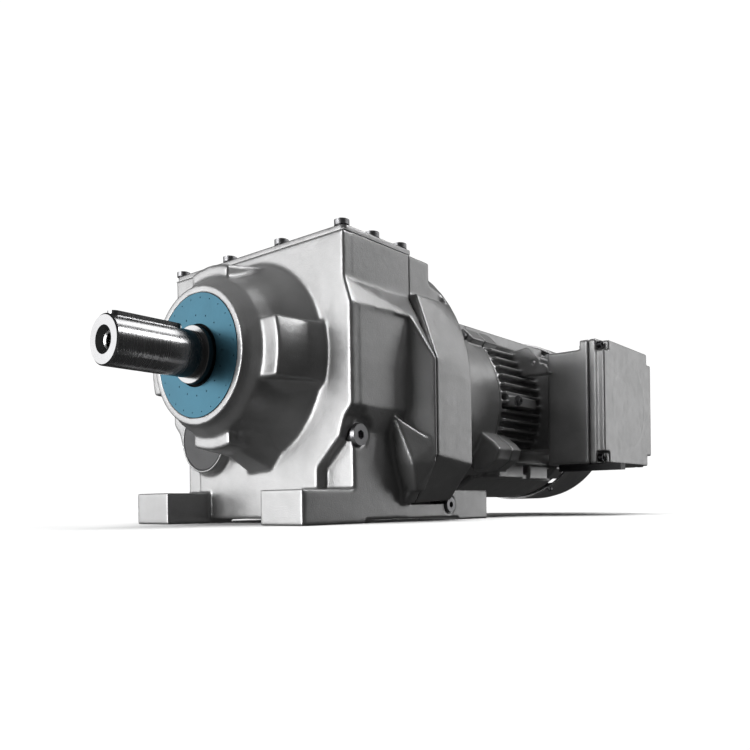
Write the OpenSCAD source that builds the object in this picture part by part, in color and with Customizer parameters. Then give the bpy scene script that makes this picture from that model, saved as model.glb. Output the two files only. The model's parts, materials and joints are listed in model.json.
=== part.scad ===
// Foot-mounted inline helical gear reducer with its motor.
// +Z is up, the output shaft points along -Y, and the terminal box is on the +X side.
// The origin is the centre of the four foot bolts, on the face that the feet stand on.

/* [Output shaft] */
// Diameter of the output shaft
shaft_d = 50; // [48:0.5:52]
// Length of the output shaft in front of its shoulder
shaft_l = 100; // [80:1:110]
// Height of the output shaft above the feet
shaft_h = 180; // [179:0.5:181]

/* [Gear unit] */
// Width of the housing's upper part
house_w = 282; // [278:1:286]
// Length of the housing in front of the adapter
house_l = 110; // [109:0.5:112]
// Height of the housing with its cover
house_top = 308; // [304:1:312]
// Width of the adapter flange
flange_w = 356; // [350:1:360]
// Spacing of the foot bolts across the unit
foot_bolt_x = 217; // [214:1:220]
// Spacing of the foot bolts along the unit
foot_bolt_y = 280; // [276:1:284]

/* [Motor] */
// Height of the motor axis below the output axis
motor_drop = 20; // [19:0.5:21]
// Radius over the motor's cooling fins
frame_r = 131; // [129:0.5:133]
// Rear end of the fan cowl, from the origin
cowl_end = 613; // [608:1:620]
// Width of the terminal box along the motor
box_w = 182; // [176:1:186]

/* [Gear train] */
// Teeth on the output gear
z_out = 58; // [58:1:58]
// Teeth on the intermediate pinion
z_mid_pinion = 14; // [14:1:14]
// Teeth on the first-stage gear
z_mid = 62; // [62:1:62]
// Teeth on the motor pinion
z_motor = 32; // [32:1:32]

/* [Hidden] */
$fn = 96;
cast_grey = [0.56, 0.57, 0.58];
motor_grey = [0.36, 0.37, 0.38];
steel = [0.75, 0.76, 0.78];

// Axes, as [x, z]
axis_out = [0, shaft_h];
axis_motor = [0, shaft_h - motor_drop];
axis_mid = [-76, shaft_h - 81];
bolt_x = foot_bolt_x / 2;
bolt_y = foot_bolt_y / 2;

// Stations along Y
front_y = -house_l;
step_y = front_y + 14;
nose_y = front_y - 78;
lug_y = front_y - 60;
shoulder_y = nose_y - 8;
wall_y = -34;
adapter_l = 102;
neck_end = 230;
frame_end = 480;
cowl_start = 482;

// Heights and half-widths of the castings
cover_t = 6;
cover_z = house_top - cover_t;
half_w = house_w / 2;
mid_w = half_w + 9;
flange_half = flange_w / 2;
foot_in = 78;
foot_out = 139;
foot_h = 36;
pad_gap = 3.5;

// ---- helpers ----

// Extrudes an outline drawn in X and Z between two stations along Y
module along_y(y0, y1) {
    translate([0, y1, 0]) rotate([90, 0, 0]) linear_extrude(y1 - y0) children();
}

// Cylinder or cone along Y, with radius r at y0 and r_end at y1
module round_y(r, y0, y1, at = [0, 0], r_end = undef) {
    translate([at[0], y1, at[1]]) rotate([90, 0, 0])
        cylinder(h = y1 - y0, r1 = is_undef(r_end) ? r : r_end, r2 = r);
}

module ring_y(r_out, r_in, y0, y1, at = [0, 0]) {
    difference() {
        round_y(r_out, y0, y1, at);
        round_y(r_in, y0 - 1, y1 + 1, at);
    }
}

// Turned piece along Y: outline points are [radius, y]
module turned_y(points, at = [0, 0]) {
    translate([at[0], 0, at[1]]) rotate([-90, 0, 0]) rotate_extrude() polygon(points);
}

module mirrored_x() {
    children();
    mirror([1, 0, 0]) children();
}

module block(x, y, z) {
    translate([x[0], y[0], z[0]]) cube([x[1] - x[0], y[1] - y[0], z[1] - z[0]]);
}

// Socket head screw with its head on the -Y side of the plane y = 0 and its shank on the +Y side
module socket_screw(d, l, head_h = 0) {
    h = head_h > 0 ? head_h : d;
    difference() {
        union() {
            rotate([90, 0, 0]) cylinder(d = 1.6 * d, h = h);
            rotate([-90, 0, 0]) cylinder(d = d, h = l);
        }
        translate([0, -h - 0.01, 0]) rotate([-90, 0, 0]) cylinder(d = 0.9 * d, h = 0.5 * h, $fn = 6);
    }
}

// ---- gear teeth ----

function inv_deg(a) = tan(a) * 180 / PI - a;

// Polar angle of half a tooth at radius r, in degrees
function half_tooth(r, rb, half_pitch, inv_pitch) =
    half_pitch + inv_pitch - (r > rb ? inv_deg(acos(rb / r)) : 0);

function tooth_radii(rf, rb, rp, ra) = rb > rf ? [rf, rb, (rb + ra) / 2, ra] : [rf, rp, ra];

// Outline of a helical gear in its transverse plane, with tooth 0 centred on +X
function gear_outline(z, m_n, beta, thin, relief) =
    let (
        rp = z * m_n / 2 / cos(beta), ra = rp + 0.92 * m_n, rf = rp - 1.25 * m_n,
        alpha = atan(tan(20) / cos(beta)), rb = rp * cos(alpha),
        half_pitch = 90 / z - thin / rp * 180 / PI, inv_pitch = inv_deg(alpha),
        radii = tooth_radii(rf, rb, rp, ra), n = len(radii)
    )
    [for (i = [0:z - 1]) each [for (k = [0:2 * n - 1])
        let (
            up = k < n, j = up ? k : 2 * n - 1 - k, r = radii[j],
            h = half_tooth(r, rb, half_pitch, inv_pitch) * (j == 0 ? relief : 1),
            a = i * 360 / z + (up ? -h : h)
        ) [r * cos(a), r * sin(a)]]];

tooth_thin = 0.3;

// Toothed blank between two stations; phase is its angle at the station y_ref
module teeth(z, m_n, beta, y0, y1, y_ref, phase, at, hand, relief = 1, slices = 2) {
    rate = hand * tan(beta) / (z * m_n / 2 / cos(beta)) * 180 / PI;
    translate([at[0], y1, at[1]]) rotate([90, 0, 0])
        rotate([0, 0, phase + rate * (y_ref - y1)])
            linear_extrude(height = y1 - y0, twist = -rate * (y1 - y0), slices = slices)
                polygon(gear_outline(z, m_n, beta, tooth_thin, relief));
}

module_out = 3;
module_mid = 2;
dist_out = norm(axis_out - axis_mid);
dist_mid = norm(axis_motor - axis_mid);
beta_out = acos(module_out * (z_out + z_mid_pinion) / 2 / dist_out);
beta_mid = acos(module_mid * (z_mid + z_motor) / 2 / dist_mid);
// Angle from each wheel's axis towards its pinion
aim_out = atan2(axis_mid[1] - axis_out[1], axis_mid[0] - axis_out[0]);
aim_mid = atan2(axis_motor[1] - axis_mid[1], axis_motor[0] - axis_mid[0]);
out_gear_y = [-95, -50];
mid_pinion_y = [-97, -48];
mid_gear_y = [9, 35];
motor_pinion_y = [7, 37];

// ---- bearings: [bore radius, outer radius, first station, width, balls] ----

bearing_out_front = [32.5, 60, nose_y + 20, 23, 10];
bearing_out_rear = [30, 55, -30, 22, 10];
bearing_mid_front = [15, 36, front_y - 7, 19, 8];
bearing_mid_rear = [17.5, 40, -31, 21, 8];
bearing_motor_front = [20, 45, 58, 23, 8];
bearing_motor_rear = [20, 40, 468, 18, 9];

function ball_r(b) = (b[1] - b[0]) * 0.3;
function pitch_r(b) = (b[0] + b[1]) / 2;

module bearing_race(b, at, inner) {
    mid_y = b[2] + b[3] / 2;
    land = (b[1] - b[0]) * 0.3;
    difference() {
        if (inner) ring_y(b[0] + land, b[0], b[2], b[2] + b[3], at);
        else ring_y(b[1], b[1] - land, b[2], b[2] + b[3], at);
        translate([at[0], mid_y, at[1]]) rotate([90, 0, 0])
            rotate_extrude() translate([pitch_r(b), 0]) circle(r = ball_r(b) + 0.05, $fn = 48);
    }
}

// Balls with the riveted cage ring that keeps them apart
module bearing_balls(b, at) {
    translate([at[0], b[2] + b[3] / 2, at[1]]) rotate([90, 0, 0]) {
        for (i = [0:b[4] - 1])
            rotate([0, 0, i * 360 / b[4]]) translate([pitch_r(b), 0, 0]) sphere(r = ball_r(b));
        difference() {
            cylinder(r = pitch_r(b) + 1.6, h = b[3] * 0.3, center = true);
            cylinder(r = pitch_r(b) - 1.6, h = b[3], center = true);
        }
    }
}

// ---- gear housing ----

// Right half of the housing's outline, from the cover face down to the rails
function house_side() = [
    [half_w, cover_z], [half_w, 253], [mid_w, 226], [mid_w, 123], [foot_out, 110], [foot_out, foot_h - 1]
];
// Same, for the raised front face: its lower corner is cut back along a diagonal
function front_side() = [
    [half_w - 0.4, cover_z], [half_w - 0.4, 253], [mid_w - 0.4, 226], [mid_w - 0.4, 123],
    [foot_out - 0.4, 110], [132, 90], [100, 59], [100, foot_h - 1]
];
function cavity_side() = [[128, cover_z + 1], [128, 248], [138, 222], [138, 127], [127, 112], [127, 46]];
// Cavity behind the cut-back corner of the front face
function cavity_front() = [[128, cover_z + 1], [128, 248], [138, 222], [138, 127], [124, 108], [92, 62], [92, 46]];
function flipped(p) = [for (i = [len(p) - 1:-1:0]) [-p[i][0], p[i][1]]];

module outline(side) {
    polygon(concat(side, flipped(side)));
}

// Octagon of the adapter flange, with its narrow top lug
function flange_side(top_z) = [
    [half_w, top_z], [half_w, 253], [flange_half, shaft_h], [flange_half, 74], [146, 21]
];

// Plan of the flange: thin at its edge, thick where it meets the housing
module flange_plan() {
    side = [[mid_w, -17], [flange_half, -3], [flange_half, 0]];
    linear_extrude(320) polygon(concat(side, flipped(side)));
}

// Nose pads: [direction angle, outer radius, half-width]
nose_pads = [[0, 107, 31], [90, 99, 30], [180, 107, 31], [270, 99, 30]];

module nose_solid() {
    turned_y([[0, front_y + 2], [112, front_y + 2], [108, front_y - 6], [97, front_y - 24],
        [89, front_y - 44], [84, front_y - 62], [77, nose_y + 8], [75, nose_y + 4], [73.5, nose_y],
        [0, nose_y]], axis_out);
    for (p = nose_pads)
        intersection() {
            round_y(p[1], lug_y, front_y + 2, axis_out, p[1] + 10);
            translate([0, 0, shaft_h]) rotate([0, -p[0], 0])
                translate([50, lug_y - 1, -p[2]]) cube([80, 70, 2 * p[2]]);
        }
}

// Web that fills the nose between its lower and side pads
module nose_web() {
    hull() {
        along_y(front_y - 1, front_y + 1)
            polygon([[112, 160], [112, 150], [80, 137], [42, 98], [30, 91], [29, 61], [-8, 58], [-10, 150]]);
        along_y(lug_y + 12, lug_y + 13)
            polygon([[92, 160], [92, 156], [66, 128], [34, 102], [22, 92], [22, 84], [-6, 84], [-8, 150]]);
    }
}

// Band that carries the housing's shoulder out to the flange
module shoulder_band() {
    hull() {
        along_y(front_y + 1, front_y + 2)
            polygon([[half_w - 20, 252.9], [half_w - 0.1, 252.9], [mid_w - 0.1, 226], [mid_w - 20, 226]]);
        along_y(-1, 0)
            polygon([[half_w - 20, 252.9], [half_w - 0.1, 252.9], [mid_w + 5, 226], [mid_w - 20, 226]]);
    }
}

// Lower facet of the side block: deeper behind the oil plug, and cut back around it
module low_facet() {
    difference() {
        along_y(level_plug_at[1], -1)
            polygon([[mid_w - 20, 122.9], [mid_w - 0.1, 122.9], [foot_out - 0.1, 95.5], [foot_out - 20, 95.5]]);
        translate([foot_out - 5, level_plug_at[1], level_plug_at[2]]) rotate([0, 90, 0])
            cylinder(r = 19, h = 30);
    }
}

module foot_rail() {
    difference() {
        union() {
            block([foot_in, foot_out], [-171, 0], [0, foot_h]);
            block([foot_in, foot_out], [-1, 75], [0, 20]);
            block([foot_in, foot_out], [74, 167], [0, foot_h]);
        }
        block([foot_in - 1, foot_out + 1], [-78, 99], [-1, pad_gap]);
    }
}

module flange_lug() {
    hull() {
        block([mid_w - 12, flange_half - 1.5], [-1.5, -0.5], [67, 88]);
        block([mid_w - 12, mid_w + 15], [-28, -26], [64, 67]);
        block([mid_w - 12, mid_w + 0.6], [-38, -36], [110, 115]);
        block([mid_w - 12, mid_w + 10], [-17, -1], [34, 36]);
    }
}

module gear_housing() {
    color(cast_grey) difference() {
        union() {
            along_y(front_y, step_y + 1) outline(front_side());
            along_y(step_y, 0) outline(house_side());
            intersection() {
                along_y(-17, 0) outline(flange_side(cover_z));
                flange_plan();
            }
            nose_solid();
            nose_web();
            mirrored_x() {
                shoulder_band();
                low_facet();
                foot_rail();
                flange_lug();
            }
            block([-foot_in - 1, foot_in + 1], [front_y, 0], [5, foot_h + 4]);
            round_y(39, front_y - 14, front_y + 12, axis_mid, 43);
            round_y(46, front_y + 10, front_y + 22, axis_mid);
        }
        along_y(front_y + 12, step_y + 9) outline(cavity_front());
        along_y(step_y + 8, wall_y) outline(cavity_side());
        // output shaft: cover plate recess, seal seat, bearing seats
        round_y(65.9, nose_y - 1, nose_y + 4, axis_out);
        round_y(45, nose_y + 3, nose_y + 22, axis_out);
        round_y(60, bearing_out_front[2], bearing_out_front[2] + 26, axis_out);
        round_y(66, bearing_out_front[2] + 26, front_y + 14, axis_out, 84);
        round_y(55, bearing_out_rear[2], 1, axis_out);
        round_y(47, wall_y - 1, 0, axis_out);
        // intermediate shaft bearing seats
        round_y(36, front_y - 15, front_y + 23, axis_mid);
        round_y(40, bearing_mid_rear[2], 1, axis_mid);
        round_y(30, wall_y - 1, 0, axis_mid);
        // holes of the feet, the cover, the plugs and the adapter
        for (s = [-1, 1]) for (t = [-1, 1])
            translate([s * bolt_x, t * bolt_y, -1]) cylinder(d = 17.5, h = foot_h + 2);
        for (p = cover_screw_places)
            translate([p[0], p[1], cover_z - 22]) cylinder(d = screw_d, h = 30);
        plug_bore(level_plug_at, 30);
        mirror([1, 0, 0]) plug_bore(level_plug_at, 30);
        plug_bore(drain_plug_at, 24);
        for (p = adapter_screw_places)
            round_y(4.25, -7, 1, p);
    }
}

screw_d = 10;
cover_front = front_y + 6.2;
cover_rear = -6.4;
cover_screw_places = concat(
    [for (x = [-133.4, -44, 44, 133.4]) each [[x, cover_front], [x, cover_rear]]],
    [for (x = [-133.4, 133.4]) [x, (cover_front + cover_rear) / 2]]
);
adapter_screw_places =
    [for (s = [-1, 1]) each [[s * 164, 160], [s * 164, 92], [s * 128, 258], [s * 149, 50]]];

// Oil plugs: [x of the face, y, z, radius]
level_plug_at = [foot_out, -87, 93, 12.3];
drain_plug_at = [foot_out, 80, 18.5, 9.6];

module plug_bore(p, depth) {
    translate([p[0] - 2, p[1], p[2]]) rotate([0, 90, 0]) cylinder(r = p[3] + 2, h = 20);
    translate([p[0] - depth, p[1], p[2]]) rotate([0, 90, 0]) cylinder(r = p[3] - 2, h = depth);
}

module oil_plug(p) {
    translate([p[0] - 2, p[1], p[2]]) rotate([0, 90, 0]) difference() {
        union() {
            cylinder(r1 = p[3], r2 = p[3] - 0.8, h = 4.5);
            translate([0, 0, -14]) cylinder(r = p[3] - 2, h = 14.5);
        }
        translate([0, 0, -2]) cylinder(r = p[3] * 0.42, h = 10, $fn = 6);
    }
}

module oil_level_plug() {
    color(steel) mirrored_x() oil_plug(level_plug_at);
}

module oil_drain_plug() {
    color(steel) oil_plug(drain_plug_at);
}

module cover_outline(t, z) {
    difference() {
        block([-half_w, half_w], [front_y + 0.5, 3], [z, z + t]);
        for (p = cover_screw_places)
            translate([p[0], p[1], z - 1]) cylinder(d = screw_d + 1, h = t + 2);
    }
}

gasket_t = 0.8;

module cover_gasket() {
    color("dimgray") difference() {
        cover_outline(gasket_t, cover_z);
        block([-118, 118], [front_y + 15, -14], [cover_z - 1, cover_z + 2]);
    }
}

module housing_cover() {
    color(cast_grey) cover_outline(cover_t - gasket_t, cover_z + gasket_t);
}

module cover_screws() {
    color(steel) for (p = cover_screw_places)
        translate([p[0], p[1], house_top]) rotate([-90, 0, 0]) socket_screw(screw_d, 24, 5.5);
}

module seal_cover_plate() {
    color([0.20, 0.42, 0.55]) difference() {
        round_y(65.6, nose_y, nose_y + 3.9, axis_out);
        round_y(33.5, nose_y - 1, nose_y + 5, axis_out);
        for (i = [0:23])
            translate([0, nose_y, shaft_h]) rotate([0, i * 15 + 7.5, 0]) translate([60.5, 0, 0])
                rotate([90, 0, 0]) cylinder(d = 1.4, h = 1.6, center = true);
        for (i = [0:15])
            translate([0, nose_y, shaft_h]) rotate([0, i * 22.5, 0]) translate([42.5, 0, 0])
                rotate([90, 0, 0]) cylinder(d = 1.7, h = 1.6, center = true);
    }
}

module output_oil_seal() {
    color("black") turned_y([[31.05, nose_y + 8], [34, nose_y + 5], [44.9, nose_y + 5], [44.9, nose_y + 17],
        [42, nose_y + 17], [42, nose_y + 8], [35, nose_y + 9], [31.05, nose_y + 13]], axis_out);
}

module bore_cap() {
    color([0.42, 0.43, 0.45]) turned_y([[0, front_y - 12], [35, front_y - 12], [35.95, front_y - 11],
        [35.95, front_y - 7.2], [32, front_y - 7.2], [32, front_y - 9], [0, front_y - 9]], axis_mid);
}

module output_bearing_outer_rings() {
    color(steel) {
        bearing_race(bearing_out_front, axis_out, false);
        bearing_race(bearing_out_rear, axis_out, false);
    }
}

module mid_bearing_outer_rings() {
    color(steel) {
        bearing_race(bearing_mid_front, axis_mid, false);
        bearing_race(bearing_mid_rear, axis_mid, false);
    }
}

// ---- adapter ----

module adapter_gasket() {
    color([0.1, 0.1, 0.1]) difference() {
        along_y(0, gasket_t) outline([for (p = flange_side(cover_z)) [p[0] - 0.6, p[1]]]);
        along_y(-1, 2) outline(adapter_cavity());
        for (p = adapter_screw_places)
            round_y(4.6, -1, 2, p);
    }
}

function adapter_cavity() = [[112, 240], [150, 170], [150, 84], [130, 31]];

flange_l = 72;
// Outline of the adapter's rear face: round above the motor axis, straight below it
function adapter_rear() = concat(
    [for (a = [52:-6.5:0]) [flange_half * cos(a), axis_motor[1] + flange_half * sin(a)]],
    [[flange_half, 66], [146, 24]]
);

// Front octagon blended into the round rear face
module adapter_shell() {
    hull() {
        along_y(gasket_t, 2) outline(concat([[half_w, 284]], [for (i = [1:4]) flange_side(0)[i]]));
        along_y(flange_l - 3, flange_l) outline(adapter_rear());
    }
}

module adapter_housing() {
    color(cast_grey) difference() {
        union() {
            adapter_shell();
            along_y(gasket_t, 40) outline([[half_w, cover_z], [half_w, 200]]);
            round_y(134, flange_l - 1, adapter_l, axis_motor, 127);
            round_y(neck_r, adapter_l - 1, adapter_l + 6, axis_motor);
        }
        along_y(0, 42) outline(adapter_cavity());
        // the shell is cut back above the octagon's upper corner, in front of the rear rim
        mirrored_x() block([half_w, flange_half], [gasket_t - 1, flange_l - 9], [256.5, cover_z]);
        // shaft seal, motor bearing and the dry space behind it
        round_y(31, 41, 56, axis_motor);
        round_y(38, 55, 60, axis_motor);
        round_y(45, 58, adapter_l + 7, axis_motor);
        round_y(100, 84, adapter_l + 7, axis_motor);
        // screw holes with their pockets
        for (p = adapter_screw_places) {
            round_y(4.6, 0, adapter_l, p);
            round_y(8, 16, adapter_l + 1, p);
        }
    }
}

module adapter_screws() {
    color(steel) for (p = adapter_screw_places)
        translate([p[0], 16, p[1]]) mirror([0, 1, 0]) socket_screw(8, 22);
}

module motor_shaft_seal() {
    color("black") turned_y([[20.05, 46], [23, 43], [30.9, 43], [30.9, 54], [28.5, 54], [28.5, 46], [24, 46],
        [20.05, 49]], axis_motor);
}

module motor_bearing_outer_rings() {
    color(steel) {
        bearing_race(bearing_motor_front, axis_motor, false);
        bearing_race(bearing_motor_rear, axis_motor, false);
    }
}

// ---- motor ----

bore_r = 105;
// Directions of the corner lugs round the motor axis
corner_angles = [-45, 45, 135, 225];
shell_r = 117;
neck_r = 124.5;

// Cast ear low on each side of the motor, where the neck and the frame are joined
module ear() {
    polygon([[102, 119], [108, 121], [134, 102], [143, 92], [138, 77], [118, 64], [100, 62]]);
}

module drive_end_neck() {
    color(motor_grey) difference() {
        union() {
            round_y(neck_r, adapter_l + 6, neck_end, axis_motor);
            for (a = corner_angles)
                translate([0, 0, axis_motor[1]]) rotate([0, a, 0])
                    block([108, 133], [neck_end - 34, neck_end - 0.4], [-12, 12]);
            mirrored_x() along_y(neck_end - 36, neck_end - 0.4) ear();
        }
        round_y(112, adapter_l + 5, neck_end + 1, axis_motor);
        for (a = corner_angles)
            translate([0, 0, axis_motor[1]]) rotate([0, a, 0]) translate([126, 0, 0]) {
                round_y(3.3, neck_end - 35, neck_end + 1);
                round_y(5.2, neck_end - 50, neck_end - 33.98);
            }
    }
}

fin_pitch = 12.5;
fin_t = 4;
box_y = [432 - house_l, 432 - house_l + box_w];
box_mid_z = axis_motor[1];
box_half_h = 87.5;
box_face = 149;
box_step_x = 199;

module side_fins() {
    for (k = [-5:7])
        translate([0, 0, k * fin_pitch]) {
            reach = sqrt(pow(frame_r, 2) - pow(k * fin_pitch, 2));
            block([90, reach], [neck_end + 6, frame_end - 8], [-fin_t / 2, fin_t / 2]);
        }
}

// Box pad and the feet-less belly of the frame
module stator_frame() {
    color(motor_grey) translate([0, 0, axis_motor[1]]) difference() {
        union() {
            round_y(shell_r, neck_end, frame_end);
            round_y(neck_r - 0.5, neck_end, neck_end + 6);
            round_y(neck_r - 0.5, frame_end - 8, frame_end);
            mirrored_x() side_fins();
            // belly
            intersection() {
                round_y(frame_r, neck_end, frame_end - 8);
                translate([0, 0, -170]) mirrored_x()
                    block([-1, 78], [neck_end, frame_end], [0, 98]);
            }
            // flat back with its vertical fins
            for (k = [-5:5])
                block([k * fin_pitch - fin_t / 2, k * fin_pitch + fin_t / 2], [neck_end + 6, frame_end - 8],
                    [80, sqrt(pow(frame_r, 2) - pow(k * fin_pitch, 2))]);
            // corner lugs at both ends, and the rib between them
            for (a = corner_angles)
                rotate([0, a, 0]) {
                    block([110, 133], [neck_end + 0.4, neck_end + 34], [-12, 12]);
                    block([110, 133], [frame_end - 34, frame_end - 0.4], [-12, 12]);
                    block([110, 126], [neck_end + 4, frame_end - 4], [-5, 5]);
                }
            // pad under the terminal box
            block([90, box_face - 1], [box_y[0] + 14, box_y[1] - 26], [-62, 62]);
            block([90, 141], [neck_end + 12, box_y[0] - 20], [-fin_t - 3, fin_t + 3]);
            mirrored_x() translate([0, 0, -axis_motor[1]]) along_y(neck_end + 0.4, neck_end + 24) ear();
            // drilled gusset and ledge in front of the terminal box
            translate([0, 0, -axis_motor[1]]) difference() {
                along_y(300, 307)
                    polygon([[78, 205], [96, 240], [129, 245], [160, 212], [160, 205]]);
                for (x = [138, 151])
                    round_y(3.6, 299, 308, [x, 221]);
            }
            block([90, 158], [300, box_y[0] - 2], [43, 47.5]);
            // flat cast pads low on the side
            block([70, 118], [neck_end + 5, neck_end + 76], [-105, -85]);
            block([70, 118], [neck_end + 94, neck_end + 152], [-106, -84]);
            block([70, 114], [neck_end + 70, neck_end + 98], [-106, -98]);
        }
        round_y(bore_r, neck_end - 1, frame_end + 1);
        block([100, box_face + 1], [box_y[0] + 40, box_y[1] - 60], [-40, 40]);
        for (a = corner_angles)
            rotate([0, a, 0]) translate([126, 0, 0]) {
                round_y(3.4, frame_end - 30, frame_end + 1);
                round_y(3.4, neck_end - 1, neck_end + 26);
            }
        translate([130, 247, 0]) rotate([0, 90, 0]) cylinder(r = 3, h = 12);
    }
}

module frame_screws() {
    color(steel) for (a = corner_angles)
        translate([0, 0, axis_motor[1]]) rotate([0, a, 0])
            translate([126, neck_end - 34, 0]) socket_screw(6, 58);
}

core_y = [262, 432];
slots = 36;

module stator_core() {
    color([0.3, 0.3, 0.32]) difference() {
        round_y(bore_r - 0.05, core_y[0], core_y[1], axis_motor);
        round_y(60.5, core_y[0] - 1, core_y[1] + 1, axis_motor);
        for (i = [0:slots - 1])
            translate([0, 0, axis_motor[1]]) rotate([0, i * 360 / slots, 0]) {
                block([64, 86], [core_y[0] - 1, core_y[1] + 1], [-3, 3]);
                block([60, 65], [core_y[0] - 1, core_y[1] + 1], [-1, 1]);
            }
    }
}

module winding_heads() {
    color([0.72, 0.38, 0.2]) {
        turned_y([[66, core_y[0] - 36], [94, core_y[0] - 36], [98, core_y[0] - 28], [92, core_y[0] - 0.1],
            [65, core_y[0] - 0.1], [62.5, core_y[0] - 28]], axis_motor);
        turned_y([[65, core_y[1] + 0.1], [92, core_y[1] + 0.1], [98, core_y[1] + 26], [94, core_y[1] + 32],
            [66, core_y[1] + 32], [62.5, core_y[1] + 26]], axis_motor);
    }
}

module fan_end_shield() {
    color(motor_grey) difference() {
        union() {
            round_y(124, frame_end, frame_end + 12, axis_motor);
            round_y(bore_r - 0.05, frame_end - 6, frame_end + 1, axis_motor);
            round_y(50, 466, frame_end + 16, axis_motor);
        }
        round_y(40, 465, 490, axis_motor);
        round_y(22, 480, frame_end + 17, axis_motor);
        for (a = corner_angles)
            translate([0, 0, axis_motor[1]]) rotate([0, a, 0])
                translate([114, 0, 0]) round_y(3.4, frame_end - 7, frame_end + 13);
    }
}

module wave_spring() {
    color(steel) ring_y(39, 33, 486.5, 489.5, axis_motor);
}

cowl_r = frame_r + 3.5;

module fan_cowl() {
    color(motor_grey) difference() {
        turned_y([[0, cowl_end], [cowl_r - 34, cowl_end], [cowl_r - 18, cowl_end - 4],
            [cowl_r - 8, cowl_end - 12], [cowl_r - 3, cowl_end - 24], [cowl_r - 1, cowl_end - 40],
            [cowl_r, cowl_start], [0, cowl_start]], axis_motor);
        turned_y([[0, cowl_end - 3], [cowl_r - 35, cowl_end - 3], [cowl_r - 21, cowl_end - 7],
            [cowl_r - 11, cowl_end - 15], [cowl_r - 6, cowl_end - 26], [cowl_r - 4, cowl_end - 41],
            [cowl_r - 3, cowl_start - 1], [0, cowl_start - 1]], axis_motor);
        difference() {
            for (r = [26:12:98])
                ring_y(r + 7, r, cowl_end - 5, cowl_end + 1, axis_motor);
            for (a = [0:45:135])
                translate([0, 0, axis_motor[1]]) rotate([0, a, 0])
                    block([-120, 120], [cowl_end - 6, cowl_end + 2], [-3.5, 3.5]);
        }
        for (a = cowl_screw_angles)
            translate([0, 0, axis_motor[1]]) rotate([0, a, 0]) translate([cowl_r - 8, cowl_start + 7, 0])
                rotate([0, 90, 0]) cylinder(r = 2.6, h = 12);
    }
}

cowl_screw_angles = [-30, 60, 150, 240];

module cowl_screws() {
    color(steel) for (a = cowl_screw_angles)
        translate([0, 0, axis_motor[1]]) rotate([0, a, 0]) translate([cowl_r, cowl_start + 7, 0])
            rotate([0, 0, 90]) socket_screw(5, 10);
}

module earth_screw() {
    color(steel) translate([141, 247, axis_motor[1]]) rotate([0, 0, 90]) difference() {
        union() {
            rotate([90, 0, 0]) cylinder(r = 8, h = 2);
            translate([0, -2, 0]) rotate([90, 0, 0]) cylinder(r = 5.5, h = 4, $fn = 6);
            rotate([-90, 0, 0]) cylinder(r = 2.9, h = 9);
        }
        translate([0, -6.5, 0]) rotate([-90, 0, 0]) cylinder(r = 2.4, h = 3);
    }
}

// ---- terminal box ----

box_lid_x = 213;
box_lid_t = 22;
lid_screw_d = 6;
wall_t = 5;
corner_at = box_half_h - 8.5;

// Box outline in Y and Z with small notched corners, drawn in the plane that faces +X
module box_outline(inset, notch) {
    y0 = box_y[0] + inset;
    y1 = box_y[1] - inset;
    h = box_half_h - inset;
    polygon([
        [y0 + notch, -h], [y1 - notch, -h], [y1 - notch, -h + notch], [y1, -h + notch], [y1, h - notch],
        [y1 - notch, h - notch], [y1 - notch, h], [y0 + notch, h], [y0 + notch, h - notch],
        [y0, h - notch], [y0, -h + notch], [y0 + notch, -h + notch]
    ]);
}

module along_x(x0, x1) {
    translate([x0, 0, axis_motor[1]]) rotate([90, 0, 90]) linear_extrude(x1 - x0) children();
}

module terminal_box_base() {
    color(motor_grey) difference() {
        union() {
            along_x(box_face, box_lid_x - 1) difference() {
                box_outline(0, 1.5);
                translate([box_y[0] - 1, box_half_h - 12.8]) square([box_w + 2, 20]);
            }
            along_x(box_step_x, box_lid_x - 1) box_outline(0, 1.5);
        }
        along_x(box_face + wall_t, box_lid_x) difference() {
            box_outline(wall_t, 12);
            translate([box_y[0], box_half_h - 18.8]) square([box_w, 24]);
        }
        block([box_face - 1, box_face + wall_t + 1], [box_y[0] + 40, box_y[1] - 60],
            [axis_motor[1] - 40, axis_motor[1] + 40]);
        for (p = box_corners)
            translate([box_lid_x - 20, p[0], axis_motor[1] + p[1]]) rotate([0, 90, 0])
                cylinder(r = 3.1, h = 30);
        for (p = box_bolt_places)
            translate([box_face - 1, p[0], axis_motor[1] + p[1]]) rotate([0, 90, 0])
                cylinder(r = 3.2, h = 10);
        translate([entry_at[0], entry_at[1], plate_z - 1]) cylinder(r = 12, h = wall_t + 2);
    }
}

entry_at = [168, 362];
box_corners = [for (y = [box_y[0] + 8, box_y[1] - 8]) each [[y, corner_at], [y, -corner_at]]];
box_bolt_places = [for (y = [box_y[0] + 26, box_y[1] - 40]) each [[y, 50], [y, -50]]];

module box_seal() {
    color("black") difference() {
        block([box_face - 1, box_face], [box_y[0] + 16, box_y[1] - 28],
            [axis_motor[1] - 60, axis_motor[1] + 60]);
        block([box_face - 2, box_face + 1], [box_y[0] + 40, box_y[1] - 60],
            [axis_motor[1] - 40, axis_motor[1] + 40]);
        for (p = box_bolt_places)
            translate([box_face - 2, p[0], axis_motor[1] + p[1]]) rotate([0, 90, 0])
                cylinder(r = 3.4, h = 4);
    }
}

module box_screws() {
    color(steel) for (p = box_bolt_places)
        translate([box_face + wall_t, p[0], axis_motor[1] + p[1]]) rotate([0, 0, 90]) socket_screw(6, 5.5);
}

module lid_gasket() {
    color([0.08, 0.08, 0.08]) difference() {
        along_x(box_lid_x - 1, box_lid_x) difference() {
            box_outline(1.5, 3);
            box_outline(wall_t + 6, 18);
        }
        for (p = box_corners)
            translate([box_lid_x - 2, p[0], axis_motor[1] + p[1]]) rotate([0, 90, 0])
                cylinder(r = 3.3, h = 4);
    }
}

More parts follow.
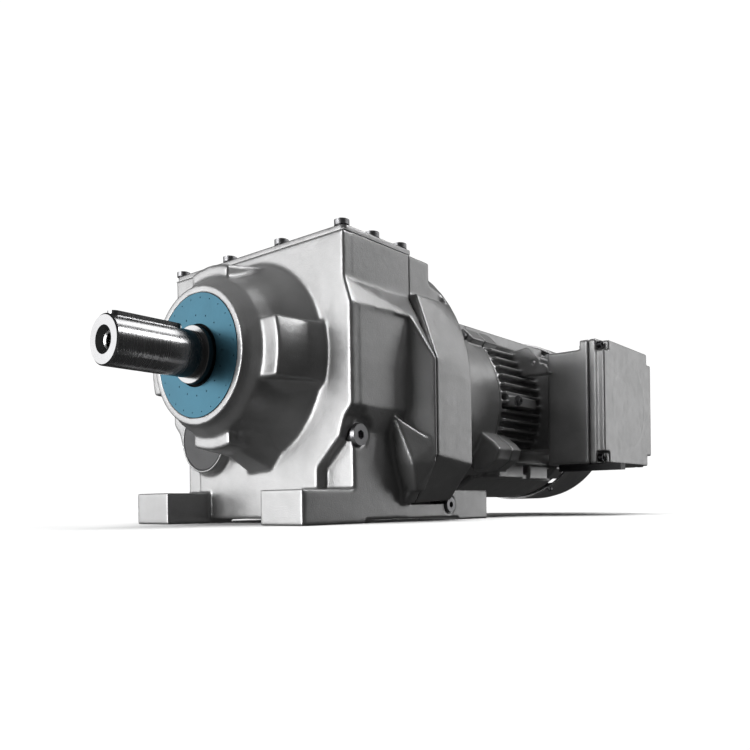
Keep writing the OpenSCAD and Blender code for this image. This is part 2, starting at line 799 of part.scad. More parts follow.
module terminal_box_lid() {
    color(motor_grey) difference() {
        union() {
            along_x(box_lid_x, box_lid_x + 10) box_outline(0, 1.5);
            along_x(box_lid_x + 9, box_lid_x + box_lid_t) box_outline(1.2, 16);
        }
        along_x(box_lid_x - 1, box_lid_x + box_lid_t - 4) box_outline(wall_t + 6, 20);
        for (p = box_corners)
            translate([box_lid_x - 1, p[0], axis_motor[1] + p[1]]) rotate([0, 90, 0])
                cylinder(r = 3.3, h = 30);
        // shallow circular embossing
        translate([box_lid_x + box_lid_t - 0.6, (box_y[0] + box_y[1]) / 2, axis_motor[1]])
            rotate([0, 90, 0]) difference() {
                cylinder(r = 62, h = 2);
                translate([0, 0, -1]) cylinder(r = 60, h = 4);
            }
    }
}

module lid_screws() {
    color([0.15, 0.15, 0.16]) for (p = box_corners)
        translate([box_lid_x + 10, p[0], axis_motor[1] + p[1]]) rotate([0, 0, 90])
            socket_screw(lid_screw_d, 26);
}

board_at = [box_face + wall_t, (box_y[0] + box_y[1]) / 2 + 14];

module terminal_board() {
    color([0.14, 0.12, 0.1]) difference() {
        block([board_at[0], board_at[0] + 14], [board_at[1] + 28, board_at[1] + 62],
            [axis_motor[1] - 45, axis_motor[1] + 45]);
        for (y = stud_y) for (z = stud_z)
            translate([board_at[0] + 4, y, axis_motor[1] + z]) rotate([0, 90, 0])
                cylinder(r = 2.5, h = 20);
    }
}

stud_y = [board_at[1] + 36, board_at[1] + 54];
stud_z = [-28, 0, 28];

module terminal_studs() {
    color([0.8, 0.65, 0.3]) for (z = stud_z) {
        for (y = stud_y)
            translate([board_at[0] + 4.2, y, axis_motor[1] + z]) rotate([0, 90, 0]) {
                cylinder(r = 2.4, h = 30);
                translate([0, 0, 12]) cylinder(r = 5, h = 4, $fn = 6);
            }
        block([board_at[0] + 14, board_at[0] + 16], [stud_y[0] - 5, stud_y[1] + 5],
            [axis_motor[1] + z - 5, axis_motor[1] + z + 5]);
    }
}

plate_z = axis_motor[1] - box_half_h;

module cable_entry_plate() {
    color([0.12, 0.12, 0.13]) block([165, 256], [box_y[0] + 2, box_y[0] + 18], [plate_z - 9, plate_z]);
}

module blanking_plugs() {
    color([0.1, 0.1, 0.1]) translate([entry_at[0], entry_at[1], plate_z - 8]) {
        cylinder(r = 15, h = 8, $fn = 6);
        translate([0, 0, 7.5]) cylinder(r = 11.9, h = 12);
    }
}

// ---- output shaft assembly ----

key_w = 14;

module output_shaft() {
    color(steel) difference() {
        translate([0, 0, shaft_h]) rotate([0, 40, 0]) turned_y([
            [0, shoulder_y - shaft_l], [shaft_d / 2 - 1.5, shoulder_y - shaft_l],
            [shaft_d / 2, shoulder_y - shaft_l + 1.5], [shaft_d / 2, shoulder_y], [30.2, shoulder_y],
            [31, shoulder_y + 0.8], [31, nose_y + 19], [32.45, nose_y + 20], [32.45, nose_y + 43],
            [38, nose_y + 43], [38, out_gear_y[0]], [35, out_gear_y[0]], [35, out_gear_y[1]],
            [34, out_gear_y[1]], [34, -30], [29.95, -30], [29.95, -3], [0, -3]
        ]);
        // threaded centre hole with its countersink
        turned_y([
            [0, shoulder_y - shaft_l - 1], [14, shoulder_y - shaft_l - 1], [14, shoulder_y - shaft_l],
            [9.2, shoulder_y - shaft_l + 6], [7, shoulder_y - shaft_l + 7], [7, shoulder_y - shaft_l + 42],
            [0, shoulder_y - shaft_l + 46]
        ], axis_out);
        key_slot(key_w, shaft_d / 2 - 5.5, [shoulder_y - shaft_l + 6, shoulder_y - 12], 20);
        key_slot(18, 28, [out_gear_y[0] + 4, out_gear_y[1] - 4], 20);
        ring_y(40, 32.6, out_gear_y[1], out_gear_y[1] + 2.6, axis_out);
    }
}

// Round-ended slot or key above an axis: width, bottom height, stations, height
module key_slot(w, bottom, y, h) {
    translate([axis_out[0], 0, axis_out[1] + bottom]) hull_free_slot(w, y, h);
}

module hull_free_slot(w, y, h) {
    block([-w / 2, w / 2], [y[0] + w / 2, y[1] - w / 2], [0, h]);
    for (e = [y[0] + w / 2, y[1] - w / 2])
        translate([0, e, 0]) cylinder(d = w, h = h);
}

module output_key() {
    color([0.35, 0.36, 0.38])
        key_slot(key_w - 0.04, shaft_d / 2 - 5.5, [shoulder_y - shaft_l + 6, shoulder_y - 12], 9);
}

module output_gear() {
    color([0.6, 0.6, 0.62]) difference() {
        teeth(z_out, module_out, beta_out, out_gear_y[0], out_gear_y[1], out_gear_y[0], aim_out, axis_out, 1);
        ring_y(76, 50, out_gear_y[0] - 1, out_gear_y[0] + 12, axis_out);
        ring_y(76, 50, out_gear_y[1] - 12, out_gear_y[1] + 1, axis_out);
        round_y(35.01, out_gear_y[0] - 1, out_gear_y[1] + 1, axis_out);
        translate([0, 0, shaft_h]) block([-9, 9], [out_gear_y[0] - 1, out_gear_y[1] + 1], [0, 39.4]);
    }
}

module output_gear_key() {
    color(steel) key_slot(17.96, 28, [out_gear_y[0] + 4, out_gear_y[1] - 4], 11);
}

module snap_ring(r_in, r_out, y, at) {
    color(steel) difference() {
        ring_y(r_out, r_in, y, y + 2.5, at);
        translate([at[0], y - 1, at[1] - r_out - 1]) translate([-4, 0, 0]) cube([8, 5, r_out - r_in + 6]);
    }
}

module output_snap_rings() {
    snap_ring(32.65, 40, out_gear_y[1] + 0.05, axis_out);
}

module output_bearing_inner_rings() {
    color(steel) {
        bearing_race(bearing_out_front, axis_out, true);
        bearing_race(bearing_out_rear, axis_out, true);
    }
}

module output_bearing_balls() {
    color([0.85, 0.86, 0.88]) {
        bearing_balls(bearing_out_front, axis_out);
        bearing_balls(bearing_out_rear, axis_out);
    }
}

// ---- intermediate shaft assembly ----

module mid_shaft() {
    color(steel) difference() {
        union() {
            teeth(z_mid_pinion, module_out, beta_out, mid_pinion_y[0], mid_pinion_y[1], out_gear_y[0],
                aim_out + 180 + 180 / z_mid_pinion, axis_mid, -1, 0.8);
            turned_y([
                [0, bearing_mid_front[2] + 1], [14.95, bearing_mid_front[2] + 1],
                [14.95, mid_pinion_y[0] - 1], [15.5, mid_pinion_y[0] - 1], [15.5, mid_pinion_y[0]],
                [15.5, mid_pinion_y[1]], [20, mid_pinion_y[1]], [20, -31], [17.45, -31], [17.45, 9],
                [16, 9], [16, 39], [0, 39]
            ], axis_mid);
        }
        translate([axis_mid[0], 0, axis_mid[1] + 11]) hull_free_slot(10, [10.5, 33.5], 20);
        ring_y(20, 14.9, 35.2, 37, axis_mid);
    }
}

module mid_gear() {
    color([0.6, 0.6, 0.62]) difference() {
        teeth(z_mid, module_mid, beta_mid, mid_gear_y[0], mid_gear_y[1], mid_gear_y[0], aim_mid, axis_mid, 1);
        ring_y(56, 28, mid_gear_y[0] - 1, mid_gear_y[0] + 7, axis_mid);
        ring_y(56, 28, mid_gear_y[1] - 7, mid_gear_y[1] + 1, axis_mid);
        round_y(16.01, mid_gear_y[0] - 1, mid_gear_y[1] + 1, axis_mid);
        translate([axis_mid[0], 0, axis_mid[1]])
            block([-5, 5], [mid_gear_y[0] - 1, mid_gear_y[1] + 1], [0, 19.2]);
    }
}

module mid_gear_key() {
    color(steel) translate([axis_mid[0], 0, axis_mid[1] + 11]) hull_free_slot(9.96, [10.5, 33.5], 8);
}

module mid_snap_rings() {
    color(steel) difference() {
        ring_y(20.5, 14.95, 35.25, 36.95, axis_mid);
        translate([axis_mid[0] - 3, 34, axis_mid[1] - 22]) cube([6, 5, 8]);
    }
}

module mid_bearing_inner_rings() {
    color(steel) {
        bearing_race(bearing_mid_front, axis_mid, true);
        bearing_race(bearing_mid_rear, axis_mid, true);
    }
}

module mid_bearing_balls() {
    color([0.85, 0.86, 0.88]) {
        bearing_balls(bearing_mid_front, axis_mid);
        bearing_balls(bearing_mid_rear, axis_mid);
    }
}

// ---- rotor assembly ----

module rotor_shaft() {
    color(steel) difference() {
        turned_y([
            [0, -1], [9.9, -1], [9.9, 7.4], [13, 7.4], [13, 38], [19.95, 40], [19.95, 81], [24, 81],
            [24, 461], [19.95, 468], [19.95, 486], [18, 490], [18, 566], [0, 566]
        ], axis_motor);
        translate([0, 0, axis_motor[1] + 9]) hull_free_slot(8, [9, 35], 20);
        ring_y(20, 16.9, 547, 548.6, axis_motor);
    }
}

module motor_pinion() {
    color([0.6, 0.6, 0.62]) difference() {
        teeth(z_motor, module_mid, beta_mid, motor_pinion_y[0], motor_pinion_y[1], mid_gear_y[0],
            aim_mid + 180 + 180 / z_motor, axis_motor, -1);
        round_y(13.01, motor_pinion_y[0] - 1, motor_pinion_y[1] + 1, axis_motor);
        translate([0, 0, axis_motor[1]])
            block([-4, 4], [motor_pinion_y[0] - 1, motor_pinion_y[1] + 1], [0, 16.4]);
    }
}

module pinion_key() {
    color(steel) translate([0, 0, axis_motor[1] + 9]) hull_free_slot(7.96, [9, 35], 7);
}

module pinion_nut() {
    color(steel) difference() {
        translate([0, 6.9, axis_motor[1]]) rotate([90, 0, 0]) cylinder(r = 15.5, h = 6.9, $fn = 6);
        round_y(9.95, -2, 8, axis_motor);
    }
}

module rotor_core() {
    color([0.4, 0.4, 0.42]) difference() {
        union() {
            round_y(60, core_y[0], core_y[1], axis_motor);
            round_y(56, core_y[0] - 11, core_y[1] + 11, axis_motor);
            for (a = [0:30:330])
                translate([0, 0, axis_motor[1]]) rotate([0, a, 0]) {
                    block([42, 55], [core_y[0] - 22, core_y[0]], [-1.5, 1.5]);
                    block([42, 55], [core_y[1], core_y[1] + 22], [-1.5, 1.5]);
                }
        }
        round_y(24.01, core_y[0] - 40, core_y[1] + 40, axis_motor);
    }
}

module motor_bearing_inner_rings() {
    color(steel) {
        bearing_race(bearing_motor_front, axis_motor, true);
        bearing_race(bearing_motor_rear, axis_motor, true);
    }
}

module motor_bearing_balls() {
    color([0.85, 0.86, 0.88]) {
        bearing_balls(bearing_motor_front, axis_motor);
        bearing_balls(bearing_motor_rear, axis_motor);
    }
}

module cooling_fan() {
    color([0.12, 0.12, 0.13]) difference() {
        union() {
            round_y(28, 506, 546, axis_motor);
            round_y(108, 506, 509, axis_motor);
            for (a = [0:40:320])
                translate([0, 0, axis_motor[1]]) rotate([0, a, 0])
                    block([24, 108], [508, 546], [-1.5, 1.5]);
        }
        round_y(18.02, 505, 547, axis_motor);
    }
}

module fan_snap_ring() {
    color(steel) difference() {
        ring_y(23, 16.95, 547.05, 548.55, axis_motor);
        translate([-3, 546, axis_motor[1] - 24]) cube([6, 5, 8]);
    }
}

gear_housing();
cover_gasket();
housing_cover();
cover_screws();
seal_cover_plate();
output_oil_seal();
bore_cap();
oil_level_plug();
oil_drain_plug();
output_bearing_outer_rings();
mid_bearing_outer_rings();
adapter_gasket();
adapter_housing();
adapter_screws();
motor_shaft_seal();
motor_bearing_outer_rings();
drive_end_neck();
stator_frame();
frame_screws();
stator_core();
winding_heads();
fan_end_shield();
wave_spring();
fan_cowl();
cowl_screws();
earth_screw();
terminal_box_base();
box_seal();
box_screws();
lid_gasket();
terminal_box_lid();
lid_screws();
terminal_board();
terminal_studs();
cable_entry_plate();
blanking_plugs();
output_shaft();
output_key();
output_gear();
output_gear_key();
output_snap_rings();
output_bearing_inner_rings();
output_bearing_balls();
mid_shaft();
mid_gear();
mid_gear_key();
mid_snap_rings();
mid_bearing_inner_rings();
mid_bearing_balls();
rotor_shaft();
motor_pinion();
pinion_nut();
pinion_key();
rotor_core();
motor_bearing_inner_rings();
motor_bearing_balls();
cooling_fan();
fan_snap_ring();
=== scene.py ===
import json
import math

import bmesh
import bpy
import numpy as np
from mathutils import Matrix, Vector


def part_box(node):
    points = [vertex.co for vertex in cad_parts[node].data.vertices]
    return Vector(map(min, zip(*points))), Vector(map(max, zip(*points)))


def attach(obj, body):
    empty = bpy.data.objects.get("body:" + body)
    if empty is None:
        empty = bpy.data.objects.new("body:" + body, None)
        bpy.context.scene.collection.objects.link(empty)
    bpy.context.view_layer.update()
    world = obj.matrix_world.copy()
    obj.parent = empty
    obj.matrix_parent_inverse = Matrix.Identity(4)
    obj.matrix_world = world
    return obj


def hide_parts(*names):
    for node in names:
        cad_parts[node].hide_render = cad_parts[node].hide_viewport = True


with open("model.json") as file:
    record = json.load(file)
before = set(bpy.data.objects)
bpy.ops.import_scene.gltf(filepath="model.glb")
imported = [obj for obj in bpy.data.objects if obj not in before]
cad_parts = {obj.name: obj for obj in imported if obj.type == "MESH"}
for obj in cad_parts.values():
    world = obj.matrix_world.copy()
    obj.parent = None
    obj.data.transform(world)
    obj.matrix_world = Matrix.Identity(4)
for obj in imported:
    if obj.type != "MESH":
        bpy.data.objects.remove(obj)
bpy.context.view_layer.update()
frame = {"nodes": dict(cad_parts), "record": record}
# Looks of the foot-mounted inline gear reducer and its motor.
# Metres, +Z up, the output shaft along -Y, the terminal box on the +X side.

NODES = frame["nodes"]
SHAFT_AXIS = (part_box("output_shaft")[0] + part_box("output_shaft")[1]) / 2
NOSE_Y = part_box("seal_cover_plate")[0].y
COVER_FACE_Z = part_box("cover_gasket")[0].z
PARTING_Y = 0.0  # the face between the gear housing and the adapter
WHITE = (1, 1, 1, 1)


# ---------------------------------------------------------------- camera and stage

def link(obj):
    """Puts obj in the scene."""
    bpy.context.scene.collection.objects.link(obj)
    return obj


def add_camera():
    """Level camera low at the front right, with a small roll, framed by a vertical shift."""
    place = Vector((0.6536, -0.6865, 0.0208))
    turn, roll = math.radians(39.51), math.radians(-0.74)
    right = Vector((math.cos(turn), math.sin(turn), 0))
    ahead = Vector((-math.sin(turn), math.cos(turn), 0))
    up = Vector((0, 0, 1))
    x_axis = math.cos(roll) * right + math.sin(roll) * up
    y_axis = -math.sin(roll) * right + math.cos(roll) * up
    data = bpy.data.cameras.new("camera")
    data.lens = 36.31
    data.sensor_width = 36
    data.shift_y = 0.1715
    data.clip_start = 0.02
    camera = link(bpy.data.objects.new("camera", data))
    basis = Matrix((x_axis, y_axis, -ahead)).transposed()
    camera.matrix_world = Matrix.Translation(place) @ basis.to_4x4()
    bpy.context.scene.camera = camera


def area_light(name, place, target, size, watts):
    """A soft box at a place, turned to face the target and unseen by the camera."""
    data = bpy.data.lights.new(name, "AREA")
    data.shape = "RECTANGLE"
    data.size, data.size_y = size
    data.energy = watts
    light = link(bpy.data.objects.new(name, data))
    light.location = place
    light.rotation_euler = (Vector(target) - Vector(place)).to_track_quat("-Z", "Y").to_euler()
    light.visible_camera = False


def add_world():
    """White behind the object, and a dim studio for the light that reaches it."""
    world = bpy.data.worlds.new("studio")
    world.use_nodes = True
    tree = world.node_tree
    dim = tree.nodes["Background"]
    dim.inputs["Color"].default_value = WHITE
    dim.inputs["Strength"].default_value = 0.04
    white = tree.nodes.new("ShaderNodeBackground")
    white.inputs["Color"].default_value = WHITE
    white.inputs["Strength"].default_value = 1.05
    path = tree.nodes.new("ShaderNodeLightPath")
    mix = tree.nodes.new("ShaderNodeMixShader")
    tree.links.new(path.outputs["Is Camera Ray"], mix.inputs["Fac"])
    tree.links.new(dim.outputs[0], mix.inputs[1])
    tree.links.new(white.outputs[0], mix.inputs[2])
    tree.links.new(mix.outputs[0], tree.nodes["World Output"].inputs["Surface"])
    bpy.context.scene.world = world


def add_floor():
    """Pale matt floor, with a faint glow far out, where the soft boxes no longer reach it."""
    half = 30.0
    corners = [(-half, -half, 0), (half, -half, 0), (half, half, 0), (-half, half, 0)]
    mesh = bpy.data.meshes.new("floor")
    mesh.from_pydata(corners, [], [(0, 1, 2, 3)])
    floor = link(bpy.data.objects.new("floor", mesh))
    g = Graph("floor")
    g.set("Base Color", (0.85, 0.85, 0.85, 1))
    g.set("Roughness", 1.0)
    g.set("Specular IOR Level", 0.0)
    far = g.node("VectorMath", {"operation": "LENGTH"}, i0=g.place).outputs["Value"]
    g.set("Emission Color", WHITE)
    g.set("Emission Strength", g.spread(far, 0.0, 0.35, from_low=1.0, from_high=3.0))
    mesh.materials.append(g.material)
    floor.visible_diffuse = False
    floor.visible_glossy = False
    floor.visible_shadow = False


def add_lights():
    """Soft boxes in front, behind, above and for the shaft's streak, and a wide light straight down."""
    middle = (0, 0.1, 0.17)
    area_light("front_box", (-0.65, -2.7, 0.4), middle, (1.3, 1.6), 56)
    area_light("front_left_box", (-1.8, -1.7, 0.5), middle, (1.5, 1.6), 18)
    area_light("rear_right_box", (1.25, 2.25, 0.6), middle, (1.1, 2.0), 9)
    area_light("rear_left_box", (-1.9, 1.5, 1.0), middle, (1.0, 1.2), 8)
    area_light("top_box", (0.15, 0.95, 1.9), middle, (0.9, 0.5), 6)
    area_light("streak_box", (1.25, 0.87, 1.4), middle, (0.45, 0.4), 8)
    data = bpy.data.lights.new("overhead", "SUN")
    data.energy = 2.6
    data.angle = 0.7
    overhead = link(bpy.data.objects.new("overhead", data))
    overhead.visible_glossy = False
    bpy.context.scene.view_settings.view_transform = "Standard"


# ---------------------------------------------------------------- material kit

class Graph:
    """A material's node tree, with short calls that add a node and fill its inputs.

    An input is given by its name, or by its number as i0, i1 and so on, and takes a value or a socket.
    """

    def __init__(self, name):
        self.material = bpy.data.materials.new(name)
        self.material.use_nodes = True
        self.tree = self.material.node_tree
        self.shader = self.tree.nodes["Principled BSDF"]
        self.place = self.node("TexCoord").outputs["Object"]

    def node(self, kind, settings=None, **inputs):
        made = self.tree.nodes.new("ShaderNode" + kind)
        for key, value in (settings or {}).items():
            setattr(made, key, value)
        for key, value in inputs.items():
            numbered = key[0] == "i" and key[1:].isdigit()
            self.put(made.inputs[int(key[1:]) if numbered else key.replace("_", " ")], value)
        return made

    def put(self, socket, value):
        if isinstance(value, bpy.types.NodeSocket):
            self.tree.links.new(value, socket)
        else:
            socket.default_value = value

    def set(self, name, value):
        self.put(self.shader.inputs[name], value)

    def math(self, operation, a, b=0.0):
        return self.node("Math", {"operation": operation}, i0=a, i1=b).outputs[0]

    def scaled(self, factors):
        made = self.node("VectorMath", {"operation": "MULTIPLY"}, i0=self.place, i1=factors)
        return made.outputs[0]

    def noise(self, scale, detail, rough=0.6, place=None):
        made = self.node("TexNoise", Vector=place or self.place, Scale=scale, Detail=detail, Roughness=rough)
        return made.outputs["Fac"]

    def spread(self, value, low, high, from_low=0.3, from_high=0.7):
        """value taken from one span to another, held at its ends."""
        spans = {"From_Min": from_low, "From_Max": from_high, "To_Min": low, "To_Max": high}
        return self.node("MapRange", Value=value, **spans).outputs["Result"]

    def blend(self, value, first, second):
        return self.node("Mix", {"data_type": "RGBA"}, i0=value, i6=first, i7=second).outputs[2]

    def tint(self, value, dark, light):
        return self.blend(value, (*dark, 1), (*light, 1))

    def bump(self, height, distance, strength, under=None):
        made = self.node("Bump", Height=height, Distance=distance, Strength=strength)
        if under is not None:
            self.put(made.inputs["Normal"], under)
        return made.outputs["Normal"]


def shade(colour, share):
    """A colour times a share, no brighter than white."""
    return tuple(min(1.0, channel * share) for channel in colour)


def cast_paint(name, colour, metallic, rough, grain):
    """Satin paint over a casting: sand grain, faint clouds and specks, and paler edges, partly rubbed wear
    and partly a painted highlight.
    """
    speck_share, worn_and_highlight_share = 0.04, 0.5
    g = Graph(name)
    clouds = g.spread(g.noise(22, detail=4), 0, 1)
    sand = g.noise(620, detail=3, rough=0.7)
    specks = g.spread(g.noise(260, detail=2), 0, 1, from_low=0.62, from_high=0.7)
    tone = g.tint(clouds, shade(colour, 0.9), shade(colour, 1.08))
    tone = g.blend(g.math("MULTIPLY", specks, speck_share), tone, (*shade(colour, 0.55), 1))
    # Paler colour on sharp edges and fillets: partly rubbed wear, partly a painted highlight along the
    # edges.
    edge = g.spread(g.node("NewGeometry").outputs["Pointiness"], 0, 1, from_low=0.52, from_high=0.60)
    worn_and_highlight = g.math("MULTIPLY", g.math("MULTIPLY", edge, worn_and_highlight_share), g.spread(g.noise(70, detail=3), 0.2, 1))
    g.set("Base Color", g.blend(worn_and_highlight, tone, (*shade(colour, 1.5), 1)))
    g.set("Metallic", metallic)
    g.set("Roughness", g.spread(g.noise(90, detail=4), rough - 0.05, rough + 0.07))
    lumps = g.bump(g.noise(45, detail=2), 0.0009, strength=0.35)
    g.set("Normal", g.bump(sand, grain, strength=0.8, under=lumps))
    return g.material


def turned_metal(name, colour, rough, line_scale=900, line_depth=0.00002, axis="y"):
    """Metal with fine lathe lines round the Y axis, or rings round the shaft when axis is "face"."""
    g = Graph(name)
    if axis == "y":
        lines = g.noise(1, detail=2, rough=0.6, place=g.scaled((6, line_scale, 6)))
    else:
        across = g.node("SeparateXYZ", Vector=g.place).outputs
        x = g.math("SUBTRACT", across["X"], SHAFT_AXIS.x)
        z = g.math("SUBTRACT", across["Z"], SHAFT_AXIS.z)
        radius = g.math("SQRT", g.math("ADD", g.math("MULTIPLY", x, x), g.math("MULTIPLY", z, z)))
        lines = g.noise(line_scale, detail=2, rough=0.6, place=g.node("CombineXYZ", X=radius).outputs[0])
    smears = g.noise(35, detail=3)
    line_rough = g.spread(lines, rough - 0.03, rough + 0.05)
    g.set("Base Color", g.tint(g.spread(smears, 0, 1), shade(colour, 0.92), shade(colour, 1.05)))
    g.set("Metallic", 1.0)
    g.set("Roughness", g.math("ADD", line_rough, g.spread(smears, 0, 0.04)))
    g.set("Normal", g.bump(lines, line_depth, strength=0.6))
    return g.material


def plain_metal(name, colour, rough):
    """Plated or rolled metal with faint blotches and a fine grain."""
    g = Graph(name)
    blotch = g.spread(g.noise(160, detail=4), 0, 1)
    g.set("Base Color", g.tint(blotch, shade(colour, 0.88), shade(colour, 1.1)))
    g.set("Metallic", 1.0)
    g.set("Roughness", g.spread(g.noise(420, detail=3), rough - 0.05, rough + 0.1))
    g.set("Normal", g.bump(g.noise(900, detail=2), 0.00003, strength=0.5))
    return g.material


def polymer(name, colour, rough):
    """Moulded plastic or rubber with a fine matt grain."""
    g = Graph(name)
    mottle = g.spread(g.noise(60, detail=3), 0, 1)
    g.set("Base Color", g.tint(mottle, shade(colour, 0.8), shade(colour, 1.25)))
    g.set("Roughness", g.spread(g.noise(350, detail=3), rough - 0.06, rough + 0.08))
    g.set("Normal", g.bump(g.noise(1400, detail=2), 0.00006, strength=0.7))
    return g.material


def layered_metal(name, colour, pitch, rough):
    """Stacked laminations: thin lines across the Y axis."""
    g = Graph(name)
    y = g.node("SeparateXYZ", Vector=g.place).outputs["Y"]
    wave = g.math("SINE", g.math("MULTIPLY", y, 2 * math.pi / pitch))
    band = g.spread(wave, 0, 1, from_low=-1, from_high=1)
    g.set("Base Color", g.tint(band, shade(colour, 0.6), shade(colour, 1.1)))
    g.set("Metallic", 1.0)
    g.set("Roughness", g.spread(g.noise(200, detail=3), rough, rough + 0.15))
    g.set("Normal", g.bump(wave, 0.0001, strength=0.7))
    return g.material


def wound_wire(name, colour):
    """Varnished copper wire wound round the Y axis, in bundles."""
    g = Graph(name)
    strands = g.noise(1, detail=2, rough=0.5, place=g.scaled((60, 1400, 60)))
    bundles = g.noise(50, detail=2)
    g.set("Base Color", g.tint(strands, shade(colour, 0.45), shade(colour, 1.15)))
    g.set("Metallic", 0.7)
    g.set("Roughness", g.spread(bundles, 0.3, 0.5))
    g.set("Coat Weight", 0.4)
    lay = g.bump(bundles, 0.002, strength=0.5)
    g.set("Normal", g.bump(strands, 0.0004, strength=0.9, under=lay))
    return g.material


def make_materials():
    """One material for each slot that the record names."""
    return {
        "housing_paint": cast_paint("housing_paint", (0.40, 0.40, 0.402), 0.7, 0.33, 0.00022),
        "motor_paint": cast_paint("motor_paint", (0.43, 0.43, 0.432), 0.6, 0.33, 0.00014),
        "seal_rubber": polymer("seal_rubber", (0.012, 0.012, 0.012), 0.55),
        "blue_plate": turned_metal("blue_plate", (0.045, 0.12, 0.165), 0.3, 1500, 0.00003, "face"),
        "cap_paint": cast_paint("cap_paint", (0.06, 0.06, 0.062), 0.3, 0.45, 0.00008),
        "ground_steel": turned_metal("ground_steel", (0.37, 0.37, 0.375), 0.22),
        "gear_steel": plain_metal("gear_steel", (0.42, 0.42, 0.43), 0.28),
        "zinc_steel": plain_metal("zinc_steel", (0.33, 0.33, 0.34), 0.36),
        "bearing_steel": turned_metal("bearing_steel", (0.66, 0.66, 0.68), 0.12, 1600),
        "core_steel": layered_metal("core_steel", (0.32, 0.32, 0.34), 0.0012, 0.35),
        "copper_winding": wound_wire("copper_winding", (0.62, 0.27, 0.11)),
        "brass_studs": plain_metal("brass_studs", (0.72, 0.55, 0.25), 0.3),
        "board_plastic": polymer("board_plastic", (0.06, 0.05, 0.04), 0.45),
        "black_plate": cast_paint("black_plate", (0.02, 0.02, 0.022), 0.3, 0.38, 0.00006),
        "black_plastic": polymer("black_plastic", (0.015, 0.015, 0.016), 0.42),
        "dark_screws": plain_metal("dark_screws", (0.06, 0.06, 0.065), 0.4),
    }


def dress(obj, material):
    """Gives obj one material and no other."""
    obj.data.materials.clear()
    obj.data.materials.append(material)


def dress_nodes(materials):
    """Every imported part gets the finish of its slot; the cover's seam is painted over."""
    for part in frame["record"]["subparts"]:
        dress(NODES[part["node"]], materials[part["material_slot"]])
    dress(NODES["cover_gasket"], materials["housing_paint"])


# ---------------------------------------------------------------- rounded castings

def positions(mesh):
    """The mesh's points, one row each."""
    co = np.empty(len(mesh.vertices) * 3)
    mesh.vertices.foreach_get("co", co)
    return co.reshape(-1, 3)


def relax(mesh, passes, weights):
    """Rounds edges and fills corners by moving each point towards its neighbours."""
    co = positions(mesh)
    count = len(co)
    ends = np.empty(len(mesh.edges) * 2, int)
    mesh.edges.foreach_get("vertices", ends)
    a, b = ends.reshape(-1, 2).T
    around = np.bincount(a, minlength=count) + np.bincount(b, minlength=count)
    share = 0.5 * weights / around
    for _ in range(passes):
        for axis in range(3):
            line = co[:, axis]
            total = np.bincount(a, line[b], count) + np.bincount(b, line[a], count)
            co[:, axis] = line + share * (total - around * line)
    mesh.vertices.foreach_set("co", co.ravel())
    mesh.update()


def evaluated(obj):
    """The mesh that obj's modifiers give; obj itself is removed."""
    bpy.context.view_layer.update()
    mesh = bpy.data.meshes.new_from_object(obj.evaluated_get(bpy.context.evaluated_depsgraph_get()))
    bpy.data.objects.remove(obj)
    return mesh


def stand_for(piece, node, material):
    """piece is shown on the casing in place of a CAD node."""
    dress(piece, material)
    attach(piece, "casing")
    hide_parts(node)


def cast_piece(node, voxel, passes, material, faces, weights=None):
    """Shows a CAD casting with the same shape, but with rounded edges and filled corners.

    voxel is the grid's size in metres, passes the amount of rounding and faces the most triangles that
    the piece may have. weights, if given, works out each point's share of the rounding.
    """
    source = link(bpy.data.objects.new(node + "_grid", NODES[node].data.copy()))
    remesh = source.modifiers.new("grid", "REMESH")
    remesh.mode = "VOXEL"
    remesh.voxel_size = voxel
    mesh = evaluated(source)
    co = positions(mesh)
    relax(mesh, passes, np.ones(len(co)) if weights is None else weights(co))
    piece = link(bpy.data.objects.new(node + "_casting", mesh))
    triangles = 2 * len(mesh.polygons)
    if triangles > faces:
        thin = piece.modifiers.new("thin", "DECIMATE")
        thin.ratio = faces / triangles
        mesh = evaluated(piece)
        piece = link(bpy.data.objects.new(node + "_casting", mesh))
    mesh.shade_smooth()
    stand_for(piece, node, material)


EDGE_SHARE = 0.06  # what a machined edge still gets of its casting's rounding
COVER_SHARE = 0.35  # the same at the face under the cover


def ramp(distance, start, end):
    """0 up to the start, 1 from the end on."""
    return np.clip((distance - start) / (end - start), 0, 1)


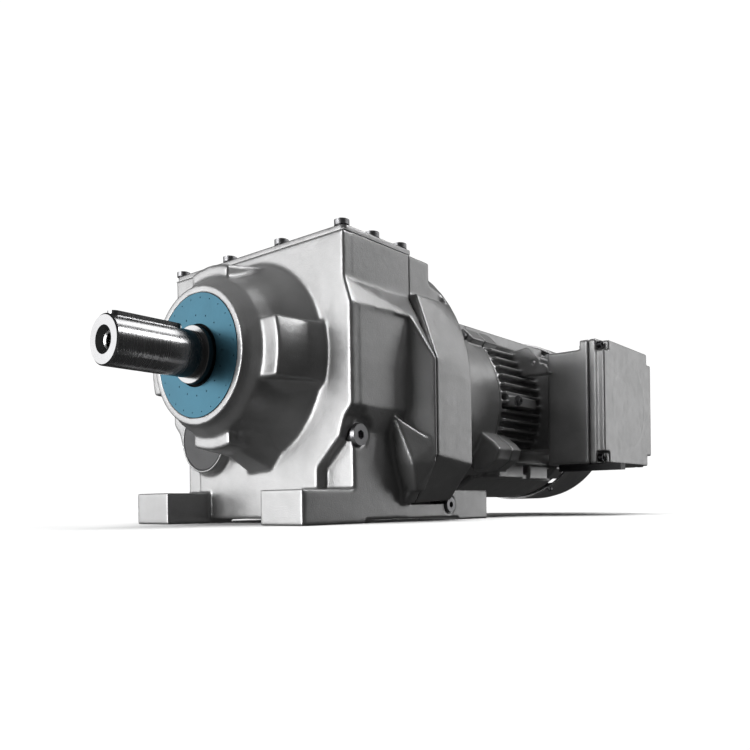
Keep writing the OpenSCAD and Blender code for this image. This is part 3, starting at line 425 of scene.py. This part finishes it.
def housing_weights(co):
    """Machined places keep their edges: the nose rim, the parting face and the cover face."""
    from_nose = ramp(co[:, 1] - NOSE_Y, 0.003, 0.012)
    from_parting = ramp(PARTING_Y - co[:, 1], 0.003, 0.012)
    from_cover = ramp(COVER_FACE_Z - co[:, 2], 0.0, 0.004)
    return np.maximum(EDGE_SHARE, from_nose * from_parting) * np.maximum(COVER_SHARE, from_cover)


def adapter_weights(co):
    """The adapter keeps its edges at the parting face."""
    return np.maximum(EDGE_SHARE, ramp(co[:, 1] - PARTING_Y, 0.003, 0.010))


def add_castings(materials):
    housing, motor = materials["housing_paint"], materials["motor_paint"]
    cast_piece("gear_housing", 0.0015, 9, housing, 190000, housing_weights)
    cast_piece("adapter_housing", 0.0016, 8, housing, 110000, adapter_weights)
    cast_piece("drive_end_neck", 0.0016, 5, motor, 60000)
    cast_piece("stator_frame", 0.0015, 3, motor, 190000)
    cast_piece("terminal_box_base", 0.0012, 6, motor, 70000)
    cast_piece("terminal_box_lid", 0.0011, 8, motor, 70000)


def add_cover(material):
    """The cover with rounded front corners and a soft upper edge."""
    same = 1e-5  # metres; heights that differ by less are the same
    low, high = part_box("housing_cover")
    bm = bmesh.new()
    bmesh.ops.create_cube(bm, size=1.0)
    for v in bm.verts:
        v.co = Vector((low[k] + (v.co[k] + 0.5) * (high[k] - low[k]) for k in range(3)))

    def height(edge):
        return abs(edge.verts[0].co.z - edge.verts[1].co.z)

    front_corners = [e for e in bm.edges if height(e) > same and e.verts[0].co.y < 0]
    bmesh.ops.bevel(bm, geom=front_corners, offset=0.007, segments=6, affect="EDGES", profile=0.5)
    upper = [e for e in bm.edges if min(v.co.z for v in e.verts) > high.z - same]
    bmesh.ops.bevel(bm, geom=upper, offset=0.0018, segments=4, affect="EDGES", profile=0.5)
    mesh = bpy.data.meshes.new("housing_cover_plate")
    bm.to_mesh(mesh)
    bm.free()
    mesh.shade_smooth()
    mesh.set_sharp_from_angle(angle=math.radians(35))
    stand_for(link(bpy.data.objects.new("housing_cover_plate", mesh)), "housing_cover", material)


# ---------------------------------------------------------------- the scene

add_camera()
add_world()
add_floor()
add_lights()
MATERIALS = make_materials()
dress_nodes(MATERIALS)
add_castings(MATERIALS)
add_cover(MATERIALS["housing_paint"])
